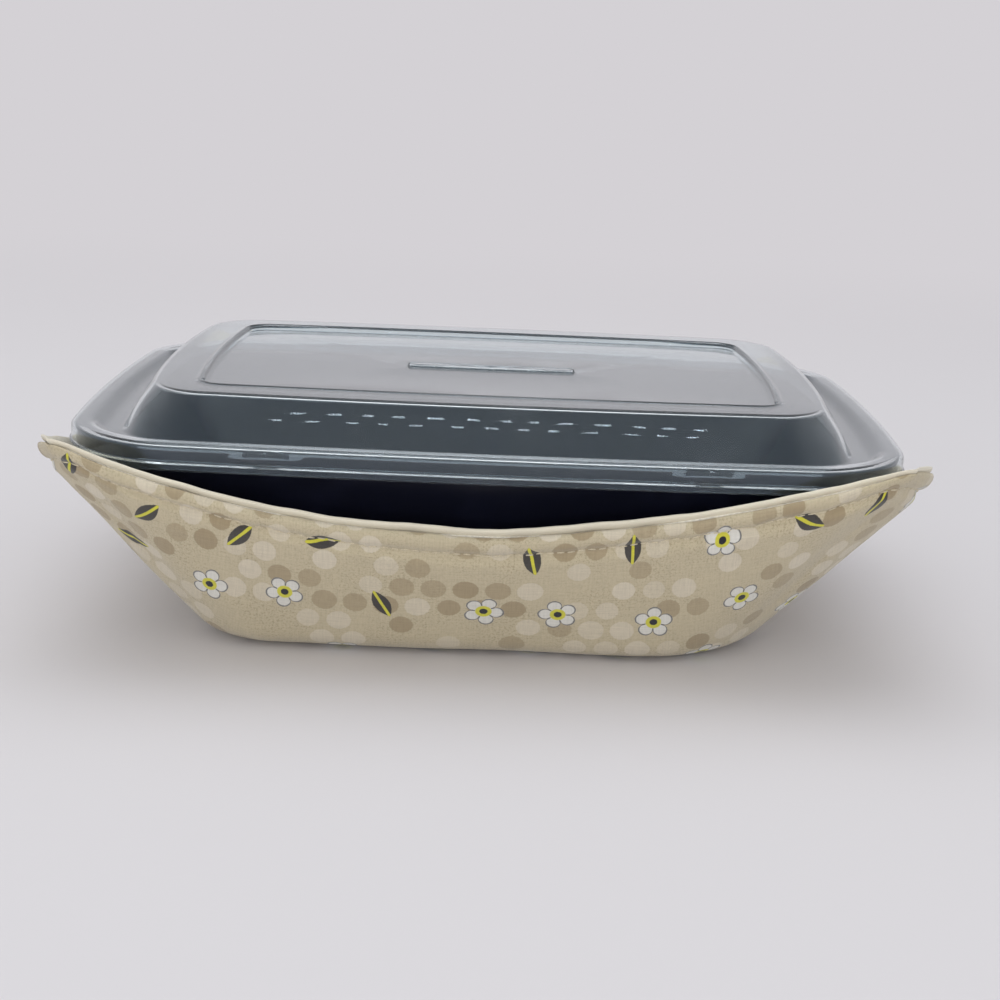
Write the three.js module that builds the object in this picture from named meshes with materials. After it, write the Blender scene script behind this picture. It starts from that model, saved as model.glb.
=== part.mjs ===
import * as THREE from 'three';

// Padded fabric cozy for a rectangular meal tub, with the tub and its clear lid in place.
// Millimetres, +Z up. The origin is the middle of the cozy's underside, -Y is the front.

// Tub: overall sizes of the flange and of the foot
const TUB_RIM_LENGTH = 216.4;
const TUB_RIM_WIDTH = 151.4;
const TUB_BASE_LENGTH = 144;
const TUB_BASE_WIDTH = 103;
const TUB_DEPTH = 52.2;
const TUB_WALL = 1.0;
const TUB_RIM_RADIUS = 26;
const TUB_BASE_RADIUS = 34;
const TUB_FOOT_ROUNDING = 11;
const FLANGE_OVERHANG = 6.2;
const FLANGE_RISE = 5.4;
const FLANGE_LIP = 2;
const FLANGE_BEAD = 3.4;

// How far the middle of each side stands out beyond its corners
const LONG_SIDE_BOW = 3;
const SHORT_SIDE_BOW = 4;

// Lid: a press-fit skirt, a bead over the flange, a valley and a stacking dome
const LID_WALL = 0.9;
const LID_CLEARANCE = 0.4;
const LID_REST_GAP = 0.3;
const LID_SKIRT_DROP = 6.6;
const LID_HEM_HEIGHT = 1.9;
const LID_HEM_STEP = 0.5;
const LID_BEAD_ROUNDING = 1.6;
const LID_VALLEY_DEPTH = 2.3;
const DOME_INSET_END = 12;
const DOME_INSET_FRONT = 9.5;
const DOME_HEIGHT = 10.1;
const DOME_LEAN_END = 6.5;
const DOME_LEAN_FRONT = 6;
const DOME_EDGE_ROUNDING = 1.8;
const DOME_CORNER_RADIUS = 16;
const DOME_RING_END = 13.5;
const DOME_RING_FRONT = 12;
const RECESS_DEPTH = 1.9;
const RECESS_CORNER_RADIUS = 10;
const LIFT_BAR_LENGTH = 48;
const LIFT_BAR_WIDTH = 3.4;
const LIFT_BAR_RISE = 0.7;
const LIFT_BAR_LEAN = 0.4;

// Cozy: four layers, counted from the lining outwards
const FABRIC = 0.45;
const BATTING = 1.6;
const LAYER_GAP = 0.2;
const BATTING_TRIM = 1.5;
const DART_SPACE = 1.0;
const COZY_FIT = 0.5;
const TUB_SEAT_GAP = 0.3;
const COZY_FLOOR_ROUNDING = 4.5;
const RIDGE_DRAW = 3.3;
const RIDGE_DRAW_TOP = 0.2;

// Cozy edge: how far the middle of each side lies inside the flange, and below its top
const FRONT_EDGE = { inside: 2.2, below: 17 };
const BACK_EDGE = { inside: 2.2, below: 17 };
const LEFT_EDGE = { inside: 5, below: 14 };
const RIGHT_EDGE = { inside: 5, below: 14 };

// Cozy corners. The tip of an ear lies beyond the flange's end and front, and above its top.
// A sweep is how late the edge climbs to that tip, along the long and the short side, and
// hold is how long the short side then stays up. It bulges out to pass the lid's corner.
// The fold is the radius of the floor's corner below. The back pair hugs the lid's corners,
// and the front pair flares away from them.
const EARS = {
  frontLeft: {
    beyondEnd: -2.7, beyondFront: 4.3, above: 2.5,
    longSweep: 2.2, shortSweep: 1.6, hold: 1.4, bulge: 6.2, fold: 18,
  },
  frontRight: {
    beyondEnd: -5.2, beyondFront: 4.3, above: 3.5,
    longSweep: 1.6, shortSweep: 1.6, hold: 1.4, bulge: 8.2, fold: 30,
  },
  backRight: {
    beyondEnd: -13.2, beyondFront: 7.3, above: 1.7,
    longSweep: 2, shortSweep: 3.2, hold: 1, bulge: 0, fold: 26,
  },
  backLeft: {
    beyondEnd: -15.2, beyondFront: 7.3, above: 2.7,
    longSweep: 2, shortSweep: 3.2, hold: 1, bulge: 0, fold: 26,
  },
};
const FLARE_SWEEP = 1.5;
const HUG_SWEEP = 6;
const BULGE_PEAK = 2 / 3;
const RIDGE_SWEEP = 12;

// Sewing
const THREAD_RADIUS = 0.2;
const THREAD_GAP = 0.15;
const SEAM_SHARE = 0.4;
const TOPSTITCH_DROP = 6;
const DART_LENGTH = 30;
const DART_START = 3;
const DART_OFFSET = 1.5;

// Facets
const CORNER_STEPS = 6;
const LONG_STEPS = 6;
const SHORT_STEPS = 5;
const COZY_LONG_STEPS = 14;
const COZY_SHORT_STEPS = 10;
const ROUNDING_STEPS = 4;
const THREAD_SIDES = 4;

// Values worked out from the sizes above
const STACK = 2 * FABRIC + 2 * LAYER_GAP + 2 * BATTING + DART_SPACE;
const TUB_SEAT = STACK + TUB_SEAT_GAP;
const RIM_TOP = TUB_SEAT + TUB_DEPTH;
const RIM_HALF = { x: TUB_RIM_LENGTH / 2, y: TUB_RIM_WIDTH / 2 };
const FOOT_HALF = { x: TUB_BASE_LENGTH / 2, y: TUB_BASE_WIDTH / 2 };

const lerp = THREE.MathUtils.lerp;

// One level ring of a bowed, round-cornered rectangle, counter-clockwise from above.
function ring(half, z, radius, bowShare = 1) {
  const points = [];
  const inner = { x: half.x - radius, y: half.y - radius };
  const corners = [[1, 1], [-1, 1], [-1, -1], [1, -1]];
  corners.forEach(([sx, sy], corner) => {
    for (let step = 0; step <= CORNER_STEPS; step += 1) {
      const turn = (corner + step / CORNER_STEPS) * Math.PI / 2;
      const x = sx * inner.x + radius * Math.cos(turn);
      const y = sy * inner.y + radius * Math.sin(turn);
      points.push([x, y]);
    }
    const [nx, ny] = corners[(corner + 1) % corners.length];
    const steps = corner % 2 === 0 ? LONG_STEPS : SHORT_STEPS;
    const from = points[points.length - 1];
    const turn = (corner + 1) * Math.PI / 2;
    const to = [nx * inner.x + radius * Math.cos(turn), ny * inner.y + radius * Math.sin(turn)];
    for (let step = 1; step < steps; step += 1) {
      points.push([lerp(from[0], to[0], step / steps), lerp(from[1], to[1], step / steps)]);
    }
  });
  return points.map(([x, y]) => new THREE.Vector3(
    x * (1 - bowShare * SHORT_SIDE_BOW / half.x * (y / half.y) ** 2),
    y * (1 - bowShare * LONG_SIDE_BOW / half.y * (x / half.x) ** 2),
    z,
  ));
}

// Closed solid through a row of rings, with a flat cap at the first and the last one.
// Each facet is split the same way whether the row climbs or falls, so layers lie snugly.
function loft(rings, closed = false) {
  const around = rings[0].length;
  const positions = [];
  const indices = [];
  rings.forEach((points) => points.forEach((point) => positions.push(point.x, point.y, point.z)));
  const spans = closed ? rings.length : rings.length - 1;
  for (let row = 0; row < spans; row += 1) {
    const next = (row + 1) % rings.length;
    for (let i = 0; i < around; i += 1) {
      const j = (i + 1) % around;
      const [a, b] = [row * around + i, row * around + j];
      const [c, d] = [next * around + i, next * around + j];
      const climbs = rings[next][i].z > rings[row][i].z;
      indices.push(...(climbs ? [a, b, d, a, d, c] : [a, b, c, b, d, c]));
    }
  }
  if (!closed) {
    [0, rings.length - 1].forEach((row) => {
      const centre = rings[row].reduce((sum, point) => sum.add(point), new THREE.Vector3());
      centre.divideScalar(around);
      positions.push(centre.x, centre.y, centre.z);
      const hub = positions.length / 3 - 1;
      for (let i = 0; i < around; i += 1) {
        const pair = [row * around + i, row * around + (i + 1) % around];
        indices.push(hub, ...(row === 0 ? pair.reverse() : pair));
      }
    });
  }
  const geometry = new THREE.BufferGeometry();
  geometry.setAttribute('position', new THREE.Float32BufferAttribute(positions, 3));
  geometry.setIndex(indices);
  geometry.computeVertexNormals();
  return geometry;
}

function namedMesh(name, geometry, color, roughness, extra = {}) {
  const material = new THREE.MeshStandardMaterial({ color, roughness, metalness: 0, ...extra });
  const mesh = new THREE.Mesh(geometry, material);
  mesh.name = name;
  return mesh;
}

// A profile is a row of levels { x, y, z, radius, bow }: half length, half width and height.
const levelRing = (level) => ring(level, level.z, level.radius, level.bow ?? 1);

// The same profile moved to its inner side by a wall's thickness.
function insetProfile(profile, wall) {
  const reach = (level) => (level.x + level.y) / 2;
  return profile.map((level, i) => {
    const before = profile[Math.max(i - 1, 0)];
    const after = profile[Math.min(i + 1, profile.length - 1)];
    const along = new THREE.Vector2(reach(after) - reach(before), after.z - before.z).normalize();
    return {
      ...level,
      x: level.x - wall * along.y,
      y: level.y - wall * along.y,
      z: level.z + wall * along.x,
      radius: Math.max(level.radius - wall * along.y, wall),
    };
  });
}

const outwards = (half, out, z, radius) => ({ x: half.x + out, y: half.y + out, z, radius });

function tubGeometry() {
  const flangeFoot = RIM_TOP - FLANGE_RISE;
  const neck = { x: RIM_HALF.x - FLANGE_OVERHANG, y: RIM_HALF.y - FLANGE_OVERHANG };
  const neckRadius = TUB_RIM_RADIUS - FLANGE_OVERHANG;
  const height = flangeFoot - TUB_SEAT;
  const wallLevel = (share) => ({
    x: lerp(FOOT_HALF.x, neck.x, share),
    y: lerp(FOOT_HALF.y, neck.y, share),
    z: TUB_SEAT + share * height,
    radius: lerp(TUB_BASE_RADIUS, neckRadius, share),
    bow: share,
  });
  // Foot rounding from the flat underside into the leaning wall
  const outside = [];
  const turn = wallLevel(TUB_FOOT_ROUNDING / height);
  for (let step = 0; step <= ROUNDING_STEPS; step += 1) {
    const t = step / ROUNDING_STEPS;
    const back = -TUB_FOOT_ROUNDING * (1 - t) ** 2;
    outside.push({
      x: FOOT_HALF.x + back + t * t * (turn.x - FOOT_HALF.x),
      y: FOOT_HALF.y + back + t * t * (turn.y - FOOT_HALF.y),
      z: TUB_SEAT + t * t * (turn.z - TUB_SEAT),
      radius: TUB_BASE_RADIUS + back,
      bow: t * t * turn.bow,
    });
  }
  outside.push(wallLevel(0.5), wallLevel(1));
  const inside = insetProfile(outside, TUB_WALL).reverse();
  const beadEdge = (FLANGE_RISE - FLANGE_LIP) / 4;
  const flange = [
    outwards(RIM_HALF, 0, flangeFoot + 2 * beadEdge, TUB_RIM_RADIUS),
    outwards(RIM_HALF, 0, RIM_TOP - 2 * beadEdge, TUB_RIM_RADIUS),
    outwards(RIM_HALF, -beadEdge, RIM_TOP, TUB_RIM_RADIUS),
    outwards(RIM_HALF, -FLANGE_BEAD, RIM_TOP, TUB_RIM_RADIUS - FLANGE_BEAD),
    outwards(RIM_HALF, -FLANGE_BEAD - beadEdge, RIM_TOP - beadEdge, TUB_RIM_RADIUS - FLANGE_BEAD),
  ];
  return loft([...outside, ...flange, ...inside].map(levelRing));
}

function lidGeometry() {
  const skirtOut = LID_CLEARANCE + LID_WALL;
  const beadTop = RIM_TOP + LID_REST_GAP + LID_WALL;
  const hem = beadTop - LID_SKIRT_DROP;
  const hemTop = hem + LID_HEM_HEIGHT;
  const beadInner = -FLANGE_BEAD - LID_BEAD_ROUNDING / 4;
  const valley = beadTop - LID_VALLEY_DEPTH;
  const onRim = (out, z) => outwards(RIM_HALF, out, z, TUB_RIM_RADIUS + out);
  const domeTop = beadTop + DOME_HEIGHT;
  const foot = { x: RIM_HALF.x - DOME_INSET_END, y: RIM_HALF.y - DOME_INSET_FRONT };
  const crown = { x: foot.x - DOME_LEAN_END, y: foot.y - DOME_LEAN_FRONT };
  const panel = { x: crown.x - DOME_RING_END, y: crown.y - DOME_RING_FRONT };
  const edge = DOME_EDGE_ROUNDING;
  const profile = [
    onRim(skirtOut + LID_HEM_STEP, hem),
    onRim(skirtOut + LID_HEM_STEP, hemTop),
    onRim(skirtOut, hemTop + LID_HEM_STEP),
    onRim(skirtOut, beadTop - LID_BEAD_ROUNDING),
    onRim(skirtOut - LID_BEAD_ROUNDING / 3, beadTop - LID_BEAD_ROUNDING / 3),
    onRim(skirtOut - LID_BEAD_ROUNDING, beadTop),
    onRim(beadInner, beadTop),
    onRim(beadInner - LID_BEAD_ROUNDING, beadTop - LID_BEAD_ROUNDING / 2),
    onRim(beadInner - LID_BEAD_ROUNDING - LID_VALLEY_DEPTH / 2, valley),
    outwards(foot, LID_VALLEY_DEPTH / 4, valley, DOME_CORNER_RADIUS),
    outwards(foot, -LID_VALLEY_DEPTH / 3, valley + LID_VALLEY_DEPTH / 2, DOME_CORNER_RADIUS),
    outwards(crown, edge / 4, domeTop - edge, DOME_CORNER_RADIUS),
    outwards(crown, -edge / 3, domeTop - edge / 3, DOME_CORNER_RADIUS),
    outwards(crown, -edge, domeTop, DOME_CORNER_RADIUS - edge),
    outwards(panel, edge, domeTop, RECESS_CORNER_RADIUS + edge),
    outwards(panel, 0, domeTop - RECESS_DEPTH, RECESS_CORNER_RADIUS),
  ];
  profile.forEach((level, i) => {
    level.bow = i < profile.length - 2 ? 1 : 0.5;
  });
  const floor = domeTop - RECESS_DEPTH;
  const barLevel = (lean, z) => ({
    x: LIFT_BAR_LENGTH / 2 - lean,
    y: LIFT_BAR_WIDTH / 2 - lean,
    z,
    radius: LIFT_BAR_WIDTH / 2 - lean,
    bow: 0,
  });
  const bar = [barLevel(0, floor), barLevel(LIFT_BAR_LEAN, floor + LIFT_BAR_RISE)];
  const rings = [...profile, ...bar].map(levelRing);
  const underside = insetProfile(profile, LID_WALL).map(levelRing).reverse();
  return loft([...underside, ...rings]);
}

// Nominal fold between the cozy's floor and its wall, on the lining's face:
// one side as (along, across) with the plan direction that points out of the cozy.
function foldPoint(alongHalf, acrossHalf, share, radius) {
  const straight = alongHalf - radius;
  const run = Math.abs(share) * (straight + radius * Math.PI / 4);
  const turn = Math.max(run - straight, 0) / radius;
  const along = Math.min(run, straight) + radius * Math.sin(turn);
  const sign = Math.sign(share);
  return {
    along: sign * along,
    across: acrossHalf - radius * (1 - Math.cos(turn)),
    outAlong: sign * Math.sin(turn),
    outAcross: Math.cos(turn),
  };
}

// The four sides, each seen from outside and turned into place round +Z.
function cozySides() {
  const tip = (ear, long) => ({
    along: long ? RIM_HALF.x + ear.beyondEnd : RIM_HALF.y + ear.beyondFront,
    across: long ? RIM_HALF.y + ear.beyondFront : RIM_HALF.x + ear.beyondEnd,
    z: RIM_TOP + ear.above,
    sweep: long ? ear.longSweep : ear.shortSweep,
    hold: long ? 1 : ear.hold,
    bulge: long ? 0 : ear.bulge,
    fold: ear.fold,
  });
  const side = (turn, long, edge, from, to) => ({
    turn,
    steps: long ? COZY_LONG_STEPS : COZY_SHORT_STEPS,
    alongHalf: (long ? FOOT_HALF.x : FOOT_HALF.y) + COZY_FIT,
    acrossHalf: (long ? FOOT_HALF.y : FOOT_HALF.x) + COZY_FIT,
    middle: { across: (long ? RIM_HALF.y : RIM_HALF.x) - edge.inside, z: RIM_TOP - edge.below },
    from: tip(from, long),
    to: tip(to, long),
  });
  return [
    side(0, true, FRONT_EDGE, EARS.frontLeft, EARS.frontRight),
    side(1, false, RIGHT_EDGE, EARS.frontRight, EARS.backRight),
    side(2, true, BACK_EDGE, EARS.backRight, EARS.backLeft),
    side(3, false, LEFT_EDGE, EARS.backLeft, EARS.frontLeft),
  ];
}

// How far across an edge lies: one whose tip lies inside its middle stays out until it has
// passed the lid's corner, and any other flares, bulging most at the bulge's peak.
function edgeAcross(middle, tip, climb) {
  const hugs = tip.across < middle.across;
  const share = hugs ? 1 - Math.sqrt(1 - climb ** HUG_SWEEP) : climb ** FLARE_SWEEP;
  const bulgeShare = climb ** 2 * (1 - climb) / (BULGE_PEAK ** 2 * (1 - BULGE_PEAK));
  return lerp(middle.across, tip.across, share) + tip.bulge * bulgeShare;
}

const edgeHeight = (middle, tip, climb) => (
  lerp(middle.z, tip.z, 1 - (1 - climb ** tip.sweep) ** tip.hold)
);

// Columns of points up the lining's face, one column for each step round the cozy.
function cozyColumns() {
  const columns = [];
  cozySides().forEach((side) => {
    const quarter = side.turn * Math.PI / 2;
    const place = (along, across, z) => new THREE.Vector3(along, -across, z)
      .applyAxisAngle(new THREE.Vector3(0, 0, 1), quarter);
    for (let step = 0; step < side.steps; step += 1) {
      const share = step / side.steps * 2 - 1;
      const tip = share < 0 ? side.from : side.to;
      const climb = Math.abs(share);
      const fold = foldPoint(side.alongHalf, side.acrossHalf, share, tip.fold);
      const foot = place(fold.along, fold.across, STACK);
      const out = place(fold.outAlong, fold.outAcross, 0);
      const across = edgeAcross(side.middle, tip, climb);
      const edge = place(share * tip.along, across, edgeHeight(side.middle, tip, climb));
      columns.push(columnPoints(foot, out, edge, RIDGE_DRAW * climb ** RIDGE_SWEEP));
    }
  });
  return columns;
}

// Floor edge, rounding, wall, topstitch line and top edge of one column.
// The wall is drawn in between floor and edge, as the ridge below an ear is.
function columnPoints(foot, out, edge, draw) {
  const up = edge.clone().sub(foot).normalize();
  const start = foot.clone().addScaledVector(out, -COZY_FLOOR_ROUNDING);
  const end = foot.clone().addScaledVector(up, COZY_FLOOR_ROUNDING);
  const rounding = new THREE.QuadraticBezierCurve3(start, foot, end).getPoints(ROUNDING_STEPS);
  const stitch = edge.clone().addScaledVector(up, -TOPSTITCH_DROP);
  const middle = end.clone().lerp(stitch, 0.5).addScaledVector(out, -draw);
  stitch.addScaledVector(out, -draw * RIDGE_DRAW_TOP);
  return { up, points: [...rounding, middle, stitch, edge] };
}

const COLUMNS = cozyColumns();
const STATIONS = COLUMNS[0].points.length;
const EDGE_STATION = STATIONS - 1;
const STITCH_STATION = STATIONS - 2;

// Direction out of the lining's face at one station of one column.
function faceOut(column, station) {
  if (station === 0) {
    return new THREE.Vector3(0, 0, -1);
  }
  const count = COLUMNS.length;
  const next = COLUMNS[(column + 1) % count].points[station];
  const last = COLUMNS[(column + count - 1) % count].points[station];
  const own = COLUMNS[column].points;
  const upper = own[Math.min(station + 1, EDGE_STATION)];
  const rise = upper.clone().sub(own[station - 1]);
  return next.clone().sub(last).cross(rise).normalize();
}

const FACE_OUT = COLUMNS.map((_, column) => COLUMNS[0].points.map((__, s) => faceOut(column, s)));

// A point of the cozy: at a depth outwards from the lining's face, and lowered from its station.
function cozyPoint(column, station, depth, lower = 0) {
  return COLUMNS[column].points[station].clone()
    .addScaledVector(COLUMNS[column].up, -lower)
    .addScaledVector(FACE_OUT[column][station], depth);
}

const cozyRing = (station, depth, lower = 0) => (
  COLUMNS.map((_, column) => cozyPoint(column, station, depth, lower))
);

// One face of a layer from the floor's edge to the top, which may stop short of the edge.
const layerFace = (depth, topDrop = 0) => COLUMNS[0].points.map((_, station) => (
  cozyRing(station, depth, station === EDGE_STATION ? topDrop : 0)
));

const layerSolid = (inside, lip, outside) => loft([...outside, ...lip, ...inside.reverse()]);

const battingGeometry = (depth) => layerSolid(
  layerFace(depth, BATTING_TRIM),
  [],
  layerFace(depth + BATTING, BATTING_TRIM),
);

// Both fabrics turn over the batting with a lip that ends at the edge's seam.
const SEAM_DEPTH = SEAM_SHARE * STACK;
const SEAM_HALF_GAP = THREAD_RADIUS + THREAD_GAP;

function liningFabricGeometry() {
  const lipEnd = SEAM_DEPTH - SEAM_HALF_GAP;
  const lip = [cozyRing(EDGE_STATION, lipEnd, FABRIC), cozyRing(EDGE_STATION, lipEnd)];
  return layerSolid(layerFace(0), lip, layerFace(FABRIC, FABRIC));
}

function outerFabricGeometry() {
  const lipEnd = SEAM_DEPTH + SEAM_HALF_GAP;
  const lip = [cozyRing(EDGE_STATION, lipEnd), cozyRing(EDGE_STATION, lipEnd, FABRIC)];
  return layerSolid(layerFace(STACK - FABRIC, FABRIC), lip, layerFace(STACK));
}

// A thread that runs round the whole edge at one station.
function threadLoopGeometry(station, depth, lower) {
  const sections = COLUMNS.map((column, i) => {
    const centre = cozyPoint(i, station, depth, lower);
    return threadSection(centre, FACE_OUT[i][station], column.up);
  });
  return loft(sections.reverse(), true);
}

function threadSection(centre, across, along) {
  return Array.from({ length: THREAD_SIDES }, (_, i) => {
    const turn = (i + 0.5) / THREAD_SIDES * 2 * Math.PI;
    return centre.clone()
      .addScaledVector(across, THREAD_RADIUS * Math.cos(turn))
      .addScaledVector(along, THREAD_RADIUS * Math.sin(turn));
  });
}

// A dart's seam, straight down the middle of a short end from just under the edge.
function dartThreadGeometry(column, depth, shift) {
  const outDirection = FACE_OUT[column][EDGE_STATION];
  const along = outDirection.clone().cross(COLUMNS[column].up).normalize();
  const at = (lower) => cozyPoint(column, EDGE_STATION, depth, lower).addScaledVector(along, shift);
  const sections = [DART_START, DART_START + DART_LENGTH].map((lower) => (
    threadSection(at(lower), outDirection, along)
  ));
  return loft(sections);
}

const LINING_BATTING_DEPTH = FABRIC + LAYER_GAP;
const OUTER_BATTING_DEPTH = LINING_BATTING_DEPTH + BATTING + DART_SPACE;
const THREAD_SEAT = THREAD_RADIUS + THREAD_GAP;
const RIGHT_END = COZY_LONG_STEPS + COZY_SHORT_STEPS / 2;
const LEFT_END = RIGHT_END + COZY_LONG_STEPS + COZY_SHORT_STEPS;

const PRINT_BEIGE = 0xbeb296;
const CREAM = 0xe1dac8;
const BATTING_WHITE = 0xefeadd;
const THREAD_CREAM = 0xd8cfb8;
const TUB_NAVY = 0x0b0d16;
const LID_HAZE = 0xb9c0c6;

const cozy = new THREE.Group();
cozy.add(
  namedMesh('lining_fabric', liningFabricGeometry(), CREAM, 0.95),
  namedMesh('lining_batting', battingGeometry(LINING_BATTING_DEPTH), BATTING_WHITE, 1),
  namedMesh('outer_batting', battingGeometry(OUTER_BATTING_DEPTH), BATTING_WHITE, 1),
  namedMesh('outer_fabric', outerFabricGeometry(), PRINT_BEIGE, 0.9),
  namedMesh('rim_seam_thread', threadLoopGeometry(EDGE_STATION, SEAM_DEPTH, FABRIC / 2), THREAD_CREAM, 0.8),
  namedMesh(
    'topstitch_thread',
    threadLoopGeometry(STITCH_STATION, STACK + THREAD_SEAT, 0),
    THREAD_CREAM,
    0.8,
  ),
  namedMesh('topstitch_bobbin_thread', threadLoopGeometry(STITCH_STATION, -THREAD_SEAT, 0), CREAM, 0.8),
);
[['left', LEFT_END], ['right', RIGHT_END]].forEach(([end, column]) => {
  const liningDepth = LINING_BATTING_DEPTH + BATTING + THREAD_SEAT;
  const outerDepth = OUTER_BATTING_DEPTH - THREAD_SEAT;
  cozy.add(
    namedMesh(`lining_dart_thread_${end}`, dartThreadGeometry(column, liningDepth, DART_OFFSET), CREAM, 0.8),
    namedMesh(`outer_dart_thread_${end}`, dartThreadGeometry(column, outerDepth, -DART_OFFSET), CREAM, 0.8),
  );
});

const container = new THREE.Group();
container.add(
  namedMesh('tub', tubGeometry(), TUB_NAVY, 0.45),
  namedMesh('lid', lidGeometry(), LID_HAZE, 0.2, { transparent: true, opacity: 0.4 }),
);

const group = new THREE.Group();
group.add(cozy, container);

export default group;
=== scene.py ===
"""Padded cotton cozy round a lidded meal tub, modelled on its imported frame. Sizes in metres."""

import math
from collections import namedtuple

import bmesh
import bpy
from bpy.props import FloatProperty, FloatVectorProperty, IntProperty, PointerProperty
from mathutils import Matrix, Vector, noise


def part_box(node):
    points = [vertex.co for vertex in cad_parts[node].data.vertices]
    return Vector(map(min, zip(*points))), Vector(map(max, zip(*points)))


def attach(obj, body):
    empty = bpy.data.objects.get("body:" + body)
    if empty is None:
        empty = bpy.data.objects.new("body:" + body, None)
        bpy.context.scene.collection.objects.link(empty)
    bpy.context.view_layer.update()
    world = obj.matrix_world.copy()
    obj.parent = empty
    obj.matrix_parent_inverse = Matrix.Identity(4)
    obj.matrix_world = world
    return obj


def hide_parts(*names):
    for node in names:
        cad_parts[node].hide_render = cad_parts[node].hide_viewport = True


bl_info = {
    "name": "Padded Tub Cozy",
    "version": (1, 0, 0),
    "blender": (4, 5, 0),
    "location": "View3D > Sidebar > Tub Cozy",
    "description": "Models a padded cotton cozy round a lidded meal tub",
    "category": "Add Mesh",
}

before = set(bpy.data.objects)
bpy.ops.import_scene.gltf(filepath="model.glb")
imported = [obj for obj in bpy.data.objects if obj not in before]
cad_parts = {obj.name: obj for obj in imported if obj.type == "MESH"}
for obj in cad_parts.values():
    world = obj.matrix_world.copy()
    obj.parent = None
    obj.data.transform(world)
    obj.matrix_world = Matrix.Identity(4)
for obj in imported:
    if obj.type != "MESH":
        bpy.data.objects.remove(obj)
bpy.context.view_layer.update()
TUB_LOW, TUB_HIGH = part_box("tub")
LID_LOW, LID_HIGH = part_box("lid")

MM = 0.001
DOWN = Vector((0, 0, -1))

# Corners in order round the cozy. A tip lies beyond the flange's end and front, and above its top.
# A sweep is how late the edge climbs to it along the long and the short side, and hold is how long
# the short side then stays up. It bulges out past the lid's corner. The fold is the floor's radius.
EarTip = namedtuple("EarTip", "beyond_end beyond_front above long_sweep short_sweep hold bulge fold")
EAR_TIPS = (
    EarTip(-2.7 * MM, 4.3 * MM, 2.5 * MM, 2.2, 1.6, 1.4, 6.2 * MM, 18 * MM),
    EarTip(-5.2 * MM, 4.3 * MM, 3.5 * MM, 1.6, 1.6, 1.4, 8.2 * MM, 30 * MM),
    EarTip(-13.2 * MM, 7.3 * MM, 1.7 * MM, 2.0, 3.2, 1.0, 0.0, 26 * MM),
    EarTip(-15.2 * MM, 7.3 * MM, 2.7 * MM, 2.0, 3.2, 1.0, 0.0, 26 * MM),
)

# Powers of the way along half a side: how late its edge flares out to an ear or hugs the flange, and
# how late its ridge is drawn in and its padding is pinched. The bulge's peak and the tip's rounding
# are shares of that way.
FLARE_SWEEP = 1.5
HUG_SWEEP = 6
BULGE_PEAK = 2 / 3
RIDGE_SWEEP = 12
PINCH_SWEEP = 8
EAR_ROUNDING = 0.05

# How far soft cloth may sink into the wadding
SINK = 0.42 * MM

# Soft cloth: how tight each kind of unevenness is, and how far it spreads
PUFF_SCALE = 34
GATHER_SCALE = (260, 90)
GATHER_DEPTH = 6 * MM
GATHER_SPREAD = 4 * MM
DRAG_SCALE = (14, 150)
DRAG_SPREAD = 22 * MM
DRAG_SWEEP = 3
WAVER_SCALE = (48, 170)
WAVER_SPREAD = 7 * MM
CREASE_DEPTH = 0.5 * MM
CREASE_SPREAD = 1.3 * MM

# Sewn edge in millimetres, as (height over the edge, depth out from the lining's face)
RIM_ZONE = 9 * MM
OUTER_EDGE = (
    (-9.0, 5.45), (-8.2, 5.2), (-7.4, 4.75), (-6.7, 4.25), (-6.0, 3.95), (-5.3, 4.25), (-4.5, 4.65),
    (-3.4, 4.9), (-2.6, 4.85), (-1.8, 4.65), (-1.1, 4.35), (-0.6, 3.9), (-0.35, 3.4), (-0.45, 2.95),
    (-0.85, 2.62), (-1.3, 2.45), (-1.8, 2.38), (-2.4, 2.38),
)
LINING_EDGE = (
    (-9.0, 0.05), (-8.2, 0.2), (-7.4, 0.45), (-6.7, 0.75), (-6.0, 0.95), (-5.3, 0.75), (-4.5, 0.5),
    (-3.4, 0.4), (-2.4, 0.45), (-1.5, 0.5), (-0.8, 0.55), (-0.2, 0.6), (0.4, 0.78), (0.7, 1.1),
    (0.6, 1.45), (0.2, 1.7), (-0.4, 1.8), (-1.2, 1.82), (-2.2, 1.82),
)

# Where the seam lies in the edge, which row of either edge is topstitched, and how much puff is left there
SEAM = (-2.0, 2.1)
STITCH_ROW = 4
RIM_PUFF = 0.35

# Rows of the mesh: shares of the way out over the floor, and counts up the bend, the wall and the wadding
FLOOR_ROWS = (0, 0.3, 0.6, 0.85)
BEND_ROWS = 10
WALL_ROWS = 26
WADDING_ROWS = 10

# Shares of the room between the two fabrics where the wadding's faces lie
LINING_WADDING = (0.0435, 0.3913)
OUTER_WADDING = (0.6087, 0.9565)

# Darts: share of the stack where each layer's seam lies, and steps down it
DART_LAYERS = {"lining": 0.46, "outer": 0.54}
DART_STEPS = 12

# A stitch's half length is a share of the pitch. Its half width and its lift out of the cloth are
# shares of the thread's radius.
STITCH_LENGTH = 0.42
STITCH_WIDTH = 1.1
STITCH_LIFT = 0.6

# Outputs of Light Path that tell camera, glossy and transmission rays
SEEING_RAYS = ("Is Camera Ray", "Is Glossy Ray", "Is Transmission Ray")

# Width of cloth that the UV map's unit square stands for
CLOTH_SPAN = 0.32

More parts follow.
